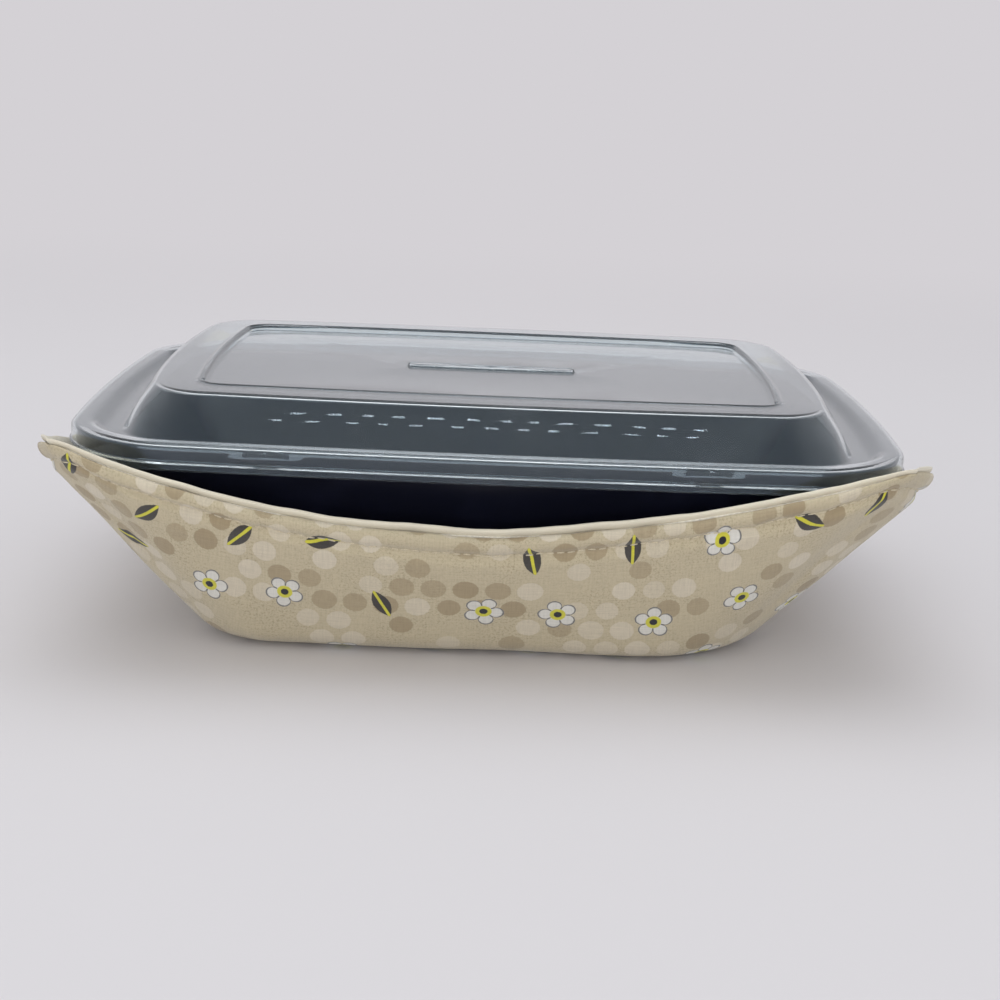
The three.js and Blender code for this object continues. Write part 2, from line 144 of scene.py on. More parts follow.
# Print, with lengths in millimetres. Each cell of a pattern draws a chance from 0 to 1: dots are pale
# below one value and deep above another, and motifs are leaves up to one value and flowers up to the next.
DOT_PITCH = 8.3
DOT_RADIUS = 3.2
PALE_DOTS = 0.3
DEEP_DOTS = 0.66
MOTIF_PITCH = 25.0
MOTIF_DRIFT = (8, 6)
LEAVES = 0.42
FLOWERS = 0.9
PETALS = 5
PETAL_START = 2.9
PETAL_LENGTH = 2.6
PETAL_ROUNDNESS = 0.55
HEART_RADIUS = 2.25
PIP_RADIUS = 1.2
LEAF_HALF_WIDTH = 2.4
LEAF_TAPER = 0.085
RIB_HALF_WIDTH = 0.5


def metres(name, description, default):
    return FloatProperty(name=name, description=description, default=default, unit="LENGTH")


def watts(name, description, default):
    return FloatProperty(name=name, description=description, default=default, unit="POWER")


def degrees(name, description, default):
    return FloatProperty(name=name, description=description, default=math.radians(default), subtype="ANGLE")


def rgb(name, description, *levels):
    """A colour given in display values from 0 to 255."""
    shade = tuple(level / 255 for level in levels)
    return FloatVectorProperty(
        name=name, description=description, subtype="COLOR_GAMMA", size=3, min=0, max=1, default=shade
    )


class TubSizes(bpy.types.PropertyGroup):
    """Sizes of the meal tub and its lid."""

    foot_length: metres("Foot length", "Length of the tub at its foot", 0.144)
    foot_width: metres("Foot width", "Width of the tub at its foot", 0.103)
    wall: metres("Tub wall", "Thickness of the tub's wall", 0.001)
    lid_wall: metres("Lid wall", "Thickness of the lid's sheet", 0.0009)
    wall_swell: metres("Wall swell", "How far the dome's walls swell", 0.0009)
    margin_fall: metres("Margin fall", "How far the margin lies below the recess's lip", 0.0005)
    panel_sag: metres("Panel sag", "How far the lid's middle sags", 0.0008)
    lug_reach: metres("Lug reach", "How far the press-fit lugs stand out", 0.0007)


class CozySizes(bpy.types.PropertyGroup):
    """Sizes of the sewn cozy."""

    fabric: metres("Fabric", "Thickness of either cotton", 0.00045)
    stack: metres("Stack", "Thickness of all layers together", 0.0055)
    fit: metres("Fit", "Room between the tub's foot and the lining", 0.0005)
    floor_rounding: metres("Floor rounding", "Bend between floor and wall", 0.0045)
    long_inside: metres("Long edge inside", "Long edges lie this far inside the flange", 0.0022)
    long_below: metres("Long edge below", "Long edges dip this far below the flange", 0.017)
    short_inside: metres("Short edge inside", "Short edges lie this far inside the flange", 0.005)
    short_below: metres("Short edge below", "Short edges dip this far below the flange", 0.014)
    ridge_draw: metres("Ridge draw", "How far the ridge under an ear is drawn in", 0.0033)
    ear_pinch: FloatProperty(
        name="Ear pinch", description="Share of the padding lost at an ear's tip",
        default=0.6, subtype="FACTOR",
    )
    puff: metres("Puff", "Unevenness of the padded wall", 0.0007)
    pucker: metres("Pucker", "Height of the small gathers at the stitching", 0.0006)
    drag: metres("Drag", "Height of the drawn folds near an ear", 0.0011)
    waver: metres("Waver", "Unevenness of the top edge", 0.0007)
    dart_length: metres("Dart length", "Length of the dart in each short end", 0.03)
    dart_start: metres("Dart start", "Depth under the edge where a dart begins", 0.003)
    stitch_pitch: metres("Stitch pitch", "Distance from stitch to stitch", 0.0026)
    thread: metres("Thread", "Radius of the sewing thread", 0.0002)
    long_columns: IntProperty(
        name="Long columns", description="Mesh columns along each long side", default=150, min=12
    )
    short_columns: IntProperty(
        name="Short columns", description="Mesh columns along each short end", default=110, min=12
    )


class CozyColours(bpy.types.PropertyGroup):
    """Colours of the cloth, the sewing and the container."""

    ground: rgb("Ground", "Beige that the print lies on", 189, 177, 150)
    stipple: rgb("Stipple", "Fine specks in the ground", 160, 147, 120)
    tan: rgb("Tan dots", "Darker dots of the print", 157, 141, 113)
    cream: rgb("Cream dots", "Paler dots of the print", 206, 196, 177)
    petal: rgb("Petals", "Petals of the printed flowers", 214, 212, 206)
    line: rgb("Line", "Fine outlines and leaves of the print", 42, 42, 48)
    yellow: rgb("Yellow", "Flower hearts and leaf ribs", 200, 194, 70)
    lining: rgb("Lining", "Plain cream cotton inside", 222, 214, 194)
    wadding: rgb("Wadding", "Cotton wadding between the fabrics", 239, 234, 221)
    thread: rgb("Thread", "Spun sewing thread", 205, 194, 168)
    tub: rgb("Tub", "Dark moulded plastic", 11, 13, 27)
    lid: rgb("Lid", "Tint of the clear lid", 240, 246, 248)
    gleam: rgb("Gleam", "Tint of the lid's reflections", 222, 240, 255)
    haze: rgb("Haze", "Milky haze of the lid's sheet", 196, 200, 204)


class StageLook(bpy.types.PropertyGroup):
    """Floor, lights and camera."""

    floor: rgb("Floor", "Pale floor", 217, 214, 216)
    backdrop: rgb("Backdrop", "Pale backdrop behind the object", 212, 209, 213)
    key: watts("Key light", "Power of the large overhead light", 5.0)
    fill: watts("Fill light", "Power of the light behind the camera", 12.0)
    spot: watts("Spots", "Power of each small lamp that the lid mirrors", 0.006)
    sky: FloatProperty(
        name="Sky", description="Strength of the even light from all round", default=0.75, min=0
    )
    camera: FloatVectorProperty(
        name="Camera", description="Place of the camera", subtype="TRANSLATION",
        default=(-0.00014, -0.46804, 0.15456),
    )
    yaw: degrees("Yaw", "Turn of the view to the right", 0.52)
    pitch: degrees("Pitch", "Tilt of the view downwards", 15.12)
    roll: degrees("Roll", "Turn of the picture about the view", -2.44)
    lens: FloatProperty(
        name="Lens", description="Focal length on a 36 mm sensor", subtype="DISTANCE_CAMERA", default=59.81
    )


def linear(colour, factor=1, lift=0):
    """Scene-linear RGBA of a colour property, made paler or darker by a factor and a lift."""
    shades = [min(1, c * factor + lift) for c in colour]
    steps = (c / 12.92 if c <= 0.04045 else ((c + 0.055) / 1.055) ** 2.4 for c in shades)
    return (*steps, 1.0)


def math_method(operation, reflected=False):
    """A method that adds one Math node to the values it is used on."""
    def method(self, *others):
        terms = (*others, self) if reflected else (self, *others)
        return self.finish.maths(operation, *terms)

    return method


class Value:
    """A shader output that takes part in Python arithmetic through Math nodes."""

    def __init__(self, finish, socket):
        self.finish = finish
        self.socket = socket

    __add__ = __radd__ = math_method("ADD")
    __sub__ = math_method("SUBTRACT")
    __rsub__ = math_method("SUBTRACT", reflected=True)
    __mul__ = __rmul__ = math_method("MULTIPLY")
    __truediv__ = math_method("DIVIDE")
    __rtruediv__ = math_method("DIVIDE", reflected=True)
    __pow__ = math_method("POWER")
    __rpow__ = math_method("POWER", reflected=True)
    __lt__ = math_method("LESS_THAN")
    __gt__ = math_method("GREATER_THAN")
    __abs__ = math_method("ABSOLUTE")
    __floor__ = math_method("FLOOR")


class Finish:
    """The nodes of a material or a world, with the one method that adds any of them."""

    def __init__(self, owner):
        self.owner = owner
        owner.use_nodes = True
        self.tree = owner.node_tree
        self.tree.nodes.clear()

    def node(self, kind, settings=None, sockets=None, output=0):
        node = self.tree.nodes.new(kind)
        for name, value in (settings or {}).items():
            setattr(node, name, value)
        for name, value in (sockets or {}).items():
            if isinstance(value, Value):
                self.tree.links.new(value.socket, node.inputs[name])
            else:
                node.inputs[name].default_value = value
        return Value(self, node.outputs[output]) if node.outputs else node

    def maths(self, operation, *terms):
        return self.node("ShaderNodeMath", {"operation": operation}, dict(enumerate(terms)))

    def blend(self, mask, below, above):
        """Colour that goes from one to the other as a mask goes from 0 to 1."""
        sockets = {"Factor": mask, 6: below, 7: above}
        return self.node("ShaderNodeMix", {"data_type": "RGBA"}, sockets, 2)

    def step(self, value, low, high):
        """Soft step from 0 to 1 between two values."""
        sockets = {"Value": value, "From Min": low, "From Max": high}
        return self.node("ShaderNodeMapRange", {"interpolation_type": "SMOOTHSTEP"}, sockets)

    def inside(self, distance, edge, softness=0.25):
        """1 within an edge and 0 outside it."""
        return 1 - self.step(distance, edge - softness, edge)

    def speckle(self, where, scale, detail=2.0, roughness=0.5):
        """Noise from 0 to 1 over the surface."""
        sockets = {"Vector": where, "Scale": scale, "Detail": detail, "Roughness": roughness}
        return self.node("ShaderNodeTexNoise", {}, sockets)

    def stretched(self, where, size):
        """Coordinates drawn out by a size in each direction."""
        return self.node("ShaderNodeMapping", {}, {"Vector": where, "Scale": size})

    def bump(self, height, strength, distance):
        sockets = {"Strength": strength, "Distance": distance, "Height": height}
        return self.node("ShaderNodeBump", {}, sockets)

    def principled(self, sockets):
        return self.node("ShaderNodeBsdfPrincipled", {}, sockets)

    def seen(self):
        """1 for rays that look at a thing, straight or through gloss and clear sheets, 0 for light."""
        rays = [self.node("ShaderNodeLightPath", {}, {}, output) for output in SEEING_RAYS]
        return self.maths("MAXIMUM", self.maths("MAXIMUM", rays[0], rays[1]), rays[2])

    def show(self, surface, kind="Material"):
        self.node(f"ShaderNodeOutput{kind}", {}, {"Surface": surface})
        return self.owner

    def show_cloth(self, colour, relief, roughness, specular, sheen, fuzz=0.5):
        """Finish with matt fibres that have a sheen."""
        skin = {
            "Base Color": colour,
            "Roughness": roughness,
            "Specular IOR Level": specular,
            "Sheen Weight": sheen,
            "Sheen Roughness": fuzz,
            "Normal": relief,
        }
        return self.show(self.principled(skin))


def new_finish(name):
    return Finish(bpy.data.materials.new(name))


def cloth_place(finish):
    """Position on the flat cloth in millimetres, whole and as its two parts."""
    unit = finish.node("ShaderNodeUVMap", {"uv_map": "cloth"})
    size = (CLOTH_SPAN / MM,) * 3
    where = finish.node("ShaderNodeVectorMath", {"operation": "MULTIPLY"}, {0: unit, 1: size})
    x = finish.node("ShaderNodeSeparateXYZ", {}, {0: where}, 0)
    y = finish.node("ShaderNodeSeparateXYZ", {}, {0: where}, 1)
    return where, x, y


def weave_height(finish, where, x, y, pitch):
    """Plain weave with slubs: threads over and under at a pitch in millimetres."""
    warp = finish.maths("SINE", x * (2 * math.pi / pitch))
    weft = finish.maths("SINE", y * (2 * math.pi / pitch))
    along = finish.speckle(finish.stretched(where, (2.4, 0.16, 1)), 1.0, 2.0)
    across = finish.speckle(finish.stretched(where, (0.16, 2.4, 1)), 1.0, 2.0)
    return warp * weft * 0.35 + along + across


def scatter(finish, x, y, pitch, seed, shift):
    """Staggered cells: place from the cell's middle in millimetres, and three random values."""
    row_rise = pitch * math.sqrt(0.75)
    up = (y + shift[1]) / row_rise
    row = math.floor(up)
    across = (x + shift[0]) / pitch + row * 0.5
    column = math.floor(across)
    cell = finish.node("ShaderNodeCombineXYZ", {}, {0: column, 1: row, 2: seed})
    chance = finish.node("ShaderNodeTexWhiteNoise", {"noise_dimensions": "3D"}, {"Vector": cell}, 1)
    parts = [finish.node("ShaderNodeSeparateColor", {}, {0: chance}, channel) for channel in range(3)]
    return (across - column - 0.5) * pitch, (up - row - 0.5) * row_rise, parts


def reach(dx, dy):
    """Distance from a cell's middle."""
    return (dx * dx + dy * dy) ** 0.5


def dot_layers(finish, colours, x, y, ragged):
    """Paler and darker dots of the print, as masks with their colours."""
    dx, dy, (kind, tone, size) = scatter(finish, x, y, DOT_PITCH, 3.0, (2.0, 3.0))
    dots = finish.inside(reach(dx, dy) + ragged * 0.7 - size * 0.45, DOT_RADIUS, 0.35)
    return (
        (dots * (kind < PALE_DOTS) * (0.45 + tone * 0.4), colours.cream),
        (dots * (kind > DEEP_DOTS) * (0.6 + tone * 0.4), colours.tan),
    )


def motif_layers(finish, colours, x, y, ragged):
    """Flowers and leaves of the print, as masks with their colours."""
    dx, dy, (kind, spin, drift) = scatter(finish, x, y, MOTIF_PITCH, 21.0, (4.0, 9.0))
    dx = dx + (drift - 0.5) * MOTIF_DRIFT[0]
    dy = dy + (spin - 0.5) * MOTIF_DRIFT[1]
    away = reach(dx, dy) + ragged * 0.3
    heading = finish.maths("ARCTAN2", dy, dx) + spin * (2 * math.pi)

    lobe = abs(finish.maths("COSINE", heading * (PETALS / 2)))
    petal_edge = (lobe ** PETAL_ROUNDNESS) * PETAL_LENGTH + PETAL_START
    flower = (kind > LEAVES) * (kind < FLOWERS)
    petals = finish.inside(away, petal_edge) * flower
    outline = petals * finish.step(away, petal_edge - 0.75, petal_edge - 0.35)
    seams = petals * (lobe < 0.2) * (away > HEART_RADIUS - 0.05)

    leaf_along = away * finish.maths("COSINE", heading)
    leaf_across = abs(away * finish.maths("SINE", heading))
    leaf_edge = LEAF_HALF_WIDTH - leaf_along * leaf_along * LEAF_TAPER
    leaf = finish.inside(leaf_across, leaf_edge) * (kind < LEAVES)
    return (
        (petals * 0.9, colours.petal),
        (finish.maths("MAXIMUM", outline, seams) * 0.8, colours.line),
        (finish.inside(away, HEART_RADIUS) * flower, colours.yellow),
        (finish.inside(away, PIP_RADIUS) * flower, colours.line),
        (leaf * 0.92, colours.line),
        (leaf * finish.inside(leaf_across, RIB_HALF_WIDTH, 0.2), colours.yellow),
    )


def printed_cotton(colours):
    """Beige cotton printed with loose dots, small five-petalled flowers and leaves."""
    finish = new_finish("printed_cotton")
    where, x, y = cloth_place(finish)
    ragged = finish.speckle(where, 1.6, 3.0) - 0.5
    slub = weave_height(finish, where, x, y, 0.42)
    patchy = finish.step(finish.speckle(where, 0.07, 3.0), 0.35, 0.65)
    stipple = finish.step(finish.speckle(where, 1.5, 3.0, 0.7), 0.5, 0.62) * (0.25 + patchy * 0.5)
    cloth = finish.blend(stipple, linear(colours.ground), linear(colours.stipple))
    for layers in (dot_layers, motif_layers):
        for mask, colour in layers(finish, colours, x, y, ragged):
            cloth = finish.blend(mask, cloth, linear(colour))
    # Partly the slubbed yarn's own tone, partly painted shade and light on the weave: darker where the
    # weave lies low, paler on its high threads
    slub_tone_and_weave_shade = finish.step(slub, 0.55, 1.35)
    shaded = finish.node(
        "ShaderNodeMix",
        {"data_type": "RGBA", "blend_type": "MULTIPLY"},
        {"Factor": 1.0, 6: cloth, 7: finish.blend(slub_tone_and_weave_shade, (0.88, 0.88, 0.88, 1), (1.06, 1.06, 1.06, 1))},
        2,
    )
    relief = finish.bump(slub, 0.35, 0.0002)
    return finish.show_cloth(shaded, relief, roughness=0.9, specular=0.2, sheen=0.25)


def plain_cotton(colour):
    """Soft undyed cotton with a faint weave and a raised nap."""
    finish = new_finish("lining_cotton")
    where, x, y = cloth_place(finish)
    nap = finish.speckle(where, 1.1, 5.0, 0.7)
    height = weave_height(finish, where, x, y, 0.5) + nap * 1.2
    patchy = finish.step(finish.speckle(where, 0.12, 3.0) * 0.6 + nap * 0.4, 0.3, 0.7)
    tone = finish.blend(patchy, linear(colour, 0.975), linear(colour, 1.01))
    relief = finish.bump(height, 0.4, 0.0003)
    return finish.show_cloth(tone, relief, roughness=0.95, specular=0.15, sheen=0.4, fuzz=0.6)


def object_place(finish):
    """Position in the object's own space, in metres."""
    return finish.node("ShaderNodeTexCoord", {}, {}, 3)


def fibrous(name, colour, scale):
    """Matt fibres, for the wadding and the spun thread."""
    finish = new_finish(name)
    fibre = finish.speckle(object_place(finish), scale, 4.0, 0.65)
    tone = finish.blend(finish.step(fibre, 0.35, 0.65), linear(colour, 0.9), linear(colour, 1.03))
    relief = finish.bump(fibre, 0.4, 0.0002)
    return finish.show_cloth(tone, relief, roughness=0.9, specular=0.2, sheen=0.3)


def dark_plastic(colour):
    """Satin moulded plastic with faint flow marks and rubbed patches."""
    finish = new_finish("dark_plastic")
    where = object_place(finish)
    grain = finish.speckle(where, 2600.0, 3.0)
    rubbed = finish.step(finish.speckle(where, 55.0, 4.0, 0.6), 0.45, 0.75)
    tone = finish.blend(rubbed * 0.5, linear(colour), linear(colour, 1.6, 0.01))
    skin = {
        "Base Color": tone,
        "Roughness": 0.3 + rubbed * 0.14,
        "Specular IOR Level": 0.5,
        "Normal": finish.bump(grain, 0.06, 0.0001),
    }
    return finish.show(finish.principled(skin))


def clear_plastic(colours):
    """Thin clear sheet with a milky haze that thickens towards a flat view, and fine scuffs."""
    finish = new_finish("clear_plastic")
    where = object_place(finish)
    smear = finish.speckle(where, 42.0, 4.0, 0.6)
    scuff = finish.speckle(finish.stretched(where, (220, 900, 600)), 1.0, 3.0, 0.6)
    scratch = finish.step(scuff, 0.68, 0.76)
    relief = finish.bump(finish.speckle(where, 45.0, 0.0), 0.12, 0.0006)
    clear_skin = {
        "Base Color": linear(colours.lid),
        "Roughness": 0.02 + scratch * 0.06,
        "IOR": 1.5,
        "Specular Tint": linear(colours.gleam),
        "Transmission Weight": 1.0,
        "Normal": relief,
    }
    milky_skin = {
        "Base Color": linear(colours.haze),
        "Roughness": 0.2,
        "Specular IOR Level": 0.5,
        "Normal": relief,
    }
    clear, milky = finish.principled(clear_skin), finish.principled(milky_skin)
    flat_view = finish.node("ShaderNodeLayerWeight", {}, {"Blend": 0.5}, 1)
    marks = finish.step(smear, 0.52, 0.8) * 0.03 + scratch * 0.03
    haze = finish.step(flat_view, 0.42, 0.95) * 0.32 + marks
    return finish.show(finish.node("ShaderNodeMixShader", {}, {0: haze, 1: clear, 2: milky}))


def pale_floor(colour, backdrop):
    """Plain pale backdrop with the faintest mottle, seen at its own colour where it rises."""
    finish = new_finish("pale_floor")
    where = object_place(finish)
    mottle = finish.speckle(where, 3.0, 2.0)
    tone = finish.blend(mottle, linear(colour, 0.995), linear(colour))
    matt = finish.principled({"Base Color": tone, "Roughness": 0.85, "Specular IOR Level": 0.2})
    plain = finish.node("ShaderNodeEmission", {}, {"Color": linear(backdrop), "Strength": 1.0})
    behind = finish.node("ShaderNodeSeparateXYZ", {}, {0: where}, 1)
    risen = finish.step(behind, 0.15, 0.9)
    sockets = {0: finish.seen() * risen, 1: matt, 2: plain}
    return finish.show(finish.node("ShaderNodeMixShader", {}, sockets))


def studio_sky(strength, backdrop):
    """Even light from all round, seen as the backdrop's colour."""
    finish = Finish(bpy.data.worlds.new("studio_sky"))
    light = finish.node("ShaderNodeBackground", {}, {"Color": (0.95, 0.97, 1.0, 1), "Strength": strength})
    plain = finish.node("ShaderNodeBackground", {}, {"Color": linear(backdrop), "Strength": 1.0})
    camera = finish.node("ShaderNodeLightPath", {}, {}, SEEING_RAYS[0])
    return finish.show(finish.node("ShaderNodeMixShader", {}, {0: camera, 1: light, 2: plain}), "World")


def rolled_grid(rings, flat=None):
    """A grid rolled into a skin through rings of points, its seam and poles welded.

    The flat places, one for each point, become the cloth's UV map."""
    around, rows = len(rings[0]), len(rings)
    skin = bmesh.new()
    bmesh.ops.create_grid(skin, x_segments=around, y_segments=rows - 1, size=1)
    skin.verts.ensure_lookup_table()
    skin.verts.index_update()
    spots = [(index // (around + 1), index % (around + 1) % around) for index in range(len(skin.verts))]
    if flat:
        cloth = skin.loops.layers.uv.new("cloth")
        for face in skin.faces:
            for loop in face.loops:
                row, column = spots[loop.vert.index]
                loop[cloth].uv = flat[row][column] / CLOTH_SPAN + Vector((0.5, 0.5))
    for vert, (row, column) in zip(skin.verts, spots):
        vert.co = rings[row][column]
    bmesh.ops.remove_doubles(skin, verts=skin.verts, dist=1e-7)
    return skin


def turn_faces(skin, end, up):
    """Turn all faces of a skin so that its end, the min or max in height, looks up or down."""
    bmesh.ops.recalc_face_normals(skin, faces=skin.faces)
    picked = end(skin.faces, key=lambda face: face.calc_center_median().z)
    if (picked.normal.z > 0) != up:
        bmesh.ops.reverse_faces(skin, faces=skin.faces)


def add_object(name, data):
    thing = bpy.data.objects.new(name, data)
    bpy.context.scene.collection.objects.link(thing)
    return thing


def add_skin(skin, name, material):
    """Turn a bmesh into a smooth object with a material."""
    mesh = bpy.data.meshes.new(name)
    skin.to_mesh(mesh)
    skin.free()
    mesh.shade_smooth()
    mesh.materials.append(material)
    return add_object(name, mesh)


def add_piece(skin, name, material, body, nodes):
    """Turn a bmesh into a finished piece that rides on a body and stands for CAD nodes."""
    piece = add_skin(skin, name, material)
    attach(piece, body)
    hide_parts(*nodes)
    return piece


def thicken(piece, thickness):
    """Give a skin its thickness on the side away from its normals."""
    wall = piece.modifiers.new("thickness", "SOLIDIFY")
    wall.thickness = thickness
    wall.offset = -1
    wall.use_even_offset = False


# A row of a fabric's mesh: its zone, where in the zone it lies, its depth out from the lining's face
# and its share of the padding's puff
Row = namedtuple("Row", "zone at depth puff")


class Column:
    """A line up the lining's face: floor, bend, wall and top edge, with the way out of it."""

    def __init__(self, turn, share, fold, out, edge):
        cozy = bpy.context.scene.cozy_sizes
        self.turn = turn
        self.share = share
        self.fold = fold
        self.edge = edge
        self.up = (edge - fold).normalized()
        self.start = fold - out * cozy.floor_rounding
        self.end = fold + self.up * cozy.floor_rounding
        self.height = (edge - self.end).length
        self.pinched = cozy.ear_pinch * abs(share) ** PINCH_SWEEP
        self.draw = out * (-cozy.ridge_draw * abs(share) ** RIDGE_SWEEP)

    def face(self, before, after):
        """Take the way round and the way out from the neighbouring columns."""
        self.around = (after.end - before.end).normalized()
        self.low_out = self.around.cross(self.up).normalized()
        self.high_out = (after.edge - before.edge).cross(self.up).normalized()

    def below_edge(self, row):
        """How far under the top edge a row lies."""
        if row.zone == "rim":
            return -row.at
        if row.zone == "wall":
            return RIM_ZONE + (1 - row.at) * (self.height - RIM_ZONE)
        return self.height

    def spot(self, row):
        """Place on the lining's face, and the way out of it, at one row."""
        if row.zone == "floor":
            return Vector((self.start.x * row.at, self.start.y * row.at, self.start.z)), DOWN
        if row.zone == "bend":
            there = row.at
            here = 1 - there
            place = self.start * here ** 2 + self.fold * (2 * here * there) + self.end * there ** 2
            rise = (self.fold - self.start) * here + (self.end - self.fold) * there
            return place, self.around.cross(rise).normalized()
        way_up = 1 - self.below_edge(row) / self.height
        place = self.end.lerp(self.edge, way_up) + self.draw * math.sin(math.pi * min(way_up, 1))
        return place, self.low_out.lerp(self.high_out, min(way_up, 1)).normalized()

    def squeezed(self, row):
        """Depth of a row, less what is pinched away at an ear."""
        if row.zone not in ("wall", "rim"):
            return row.depth
        way_up = min(1 - self.below_edge(row) / self.height, 1)
        return row.depth * (1 - self.pinched * way_up ** 2)


def turned(turn, along, across, height=0.0):
    """A place on one side of the cozy, counted from the front, turned into the frame."""
    x, y = along, -across
    for _ in range(turn):
        x, y = -y, x
    return Vector((x, y, height))


def eased(share):
    """Way along half a side, slowed at the corner so that the ear's tip is round."""
    run = abs(share)
    if run > 1 - EAR_ROUNDING:
        run = 1 - EAR_ROUNDING / 2 - (1 - run) ** 2 / (2 * EAR_ROUNDING)
    return run / (1 - EAR_ROUNDING / 2)


def fold_point(along_half, across_half, share, radius):
    """Fold between floor and wall, as along, across and the plan direction out of it."""
    straight = along_half - radius
    run = abs(share) * (straight + radius * math.pi / 4)
    turn = max(run - straight, 0) / radius
    along = min(run, straight) + radius * math.sin(turn)
    sign = math.copysign(1, share)
    across = across_half - radius * (1 - math.cos(turn))
    return sign * along, across, sign * math.sin(turn), math.cos(turn)


def cozy_columns():
    """All columns round the cozy, counter-clockwise from the front left ear."""
    cozy = bpy.context.scene.cozy_sizes
    tub = bpy.context.scene.tub_sizes
    foot = (tub.foot_length / 2 + cozy.fit, tub.foot_width / 2 + cozy.fit)
    rim = (TUB_HIGH.x, TUB_HIGH.y)
    columns = []
    for turn in range(4):
        short = turn % 2
        steps = cozy.short_columns if short else cozy.long_columns
        inside = cozy.short_inside if short else cozy.long_inside
        below = cozy.short_below if short else cozy.long_below
        middle = rim[1 - short] - inside
        for step in range(steps):
            share = 2 * step / steps - 1
            ear = EAR_TIPS[turn if share < 0 else (turn + 1) % 4]
            tip = (rim[0] + ear.beyond_end, rim[1] + ear.beyond_front)
            climb = eased(share)
            hugs = tip[1 - short] < middle
            flare = 1 - math.sqrt(max(1 - climb ** HUG_SWEEP, 0)) if hugs else climb ** FLARE_SWEEP
            bulge = short * ear.bulge * climb ** 2 * (1 - climb) / (BULGE_PEAK ** 2 * (1 - BULGE_PEAK))
            across = middle + (tip[1 - short] - middle) * flare + bulge
            sweep, hold = (ear.short_sweep, ear.hold) if short else (ear.long_sweep, 1)
            lift = 1 - (1 - climb ** sweep) ** hold
            height = TUB_HIGH.z - below + (below + ear.above) * lift
            along, fold_across, out_along, out_across = fold_point(
                foot[short], foot[1 - short], share, ear.fold
            )
            columns.append(
                Column(
                    turn,
                    share,
                    turned(turn, along, fold_across, cozy.stack),
                    turned(turn, out_along, out_across),
                    turned(turn, share * tip[short], across, height),
                )
            )
    for index, column in enumerate(columns):
        column.face(columns[index - 1], columns[(index + 1) % len(columns)])
    return columns


def cozy_rows(depth, edge):
    """Rows of one fabric face from the middle of the floor to the edge's crease."""
    rows = [Row("floor", share, depth, 0) for share in FLOOR_ROWS]
    rows += [Row("bend", step / BEND_ROWS, depth, step / BEND_ROWS) for step in range(BEND_ROWS + 1)]
    for step in range(1, WALL_ROWS):
        share = step / WALL_ROWS
        rows.append(Row("wall", share, depth, 1 - 0.5 * share ** 4))
    rows += [Row("rim", height * MM, out * MM, RIM_PUFF) for height, out in edge]
    return rows


def bell(distance, spread):
    """1 at no distance, falling softly to 0 a few spreads away."""
    return math.exp(-((distance / spread) ** 2))


def softness(column, row, place):
    """How far cloth stands out with padding, gathers and drawn folds, and how deep a dart's crease is."""
    cozy = bpy.context.scene.cozy_sizes
    below = column.below_edge(row)
    padding = cozy.puff * row.puff * noise.noise(place * PUFF_SCALE)
    across, down = GATHER_SCALE
    ripple = noise.noise(column.edge * across + Vector((0, 0, below * down)))
    gathers = cozy.pucker * bell(below - GATHER_DEPTH, GATHER_SPREAD) * ripple
    across, down = DRAG_SCALE
    furrow = noise.noise(Vector((column.edge.x * across, column.edge.y * across, below * down)))
    drag = cozy.drag * abs(column.share) ** DRAG_SWEEP * bell(below, DRAG_SPREAD) * furrow
    crease = 0
    dart_end = cozy.dart_start + cozy.dart_length
    if column.turn % 2 and below < dart_end and row.zone in ("wall", "rim"):
        beside = abs(column.share) * TUB_HIGH.y
        fade = math.sqrt(1 - below / dart_end if below > 0 else 1)
        crease = -CREASE_DEPTH * bell(beside, CREASE_SPREAD) * fade
    return padding + gathers + drag, crease


def cozy_face(columns, rows, inwards):
    """Rings of points of one fabric face, and the same without its softness."""
    cozy = bpy.context.scene.cozy_sizes
    coarse, fine = WAVER_SCALE
    soft, plain = [], []
    for row in rows:
        soft_ring, plain_ring = [], []
        for column in columns:
            place, out = column.spot(row)
            swell, crease = softness(column, row, place)
            sink = SINK * (1 - column.pinched)
            if inwards:
                swell, crease = min(abs(swell), sink), -crease
            swell = max(swell, -sink)
            near_edge = bell(column.below_edge(row), WAVER_SPREAD) if row.zone == "rim" else 0
            ripple = noise.noise(column.edge * coarse) + 0.5 * noise.noise(column.edge * fine)
            waver = cozy.waver * near_edge * ripple
            depth = column.squeezed(row)
            plain_ring.append(place + out * depth)
            soft_ring.append(place + out * (depth + swell + crease) + column.up * waver)
        soft.append(soft_ring)
        plain.append(plain_ring)
    return soft, plain


def side_flat(column_points, turn):
    """A column laid flat in the plane of one side, as plan positions."""
    along_way = turned(turn, 1, 0)
    across_way = turned(turn, 0, 1)
    flat, across, last = [], 0.0, None
    for point in column_points:
        height = Vector((point.dot(across_way), point.z))
        across += (height - last).length if last else height.x
        last = height
        laid = along_way * point.dot(along_way) + across_way * across
        flat.append(Vector((laid.x, laid.y)))
    return flat


def flat_cloth(columns, rings):
    """Where each point lies on the flat cut: sides laid out, and eased together at the corners."""
    lines = [[ring[index] for ring in rings] for index in range(len(columns))]
    flats = [side_flat(line, column.turn) for line, column in zip(lines, columns)]
    corners = [index for index, column in enumerate(columns) if column.share == -1]
    starts, ends = {}, {}
    for index in corners:
        turn = columns[index].turn
        before = side_flat(lines[index], (turn - 1) % 4)
        middle = [(a + b) / 2 for a, b in zip(before, flats[index])]
        starts[turn] = [m - a for m, a in zip(middle, flats[index])]
        ends[(turn - 1) % 4] = [m - b for m, b in zip(middle, before)]
    for flat, column in zip(flats, columns):
        shift = starts[column.turn] if column.share < 0 else ends[column.turn]
        for row, offset in enumerate(shift):
            flat[row] += offset * column.share ** 2
    return [[flat[row] for flat in flats] for row in range(len(rings))]


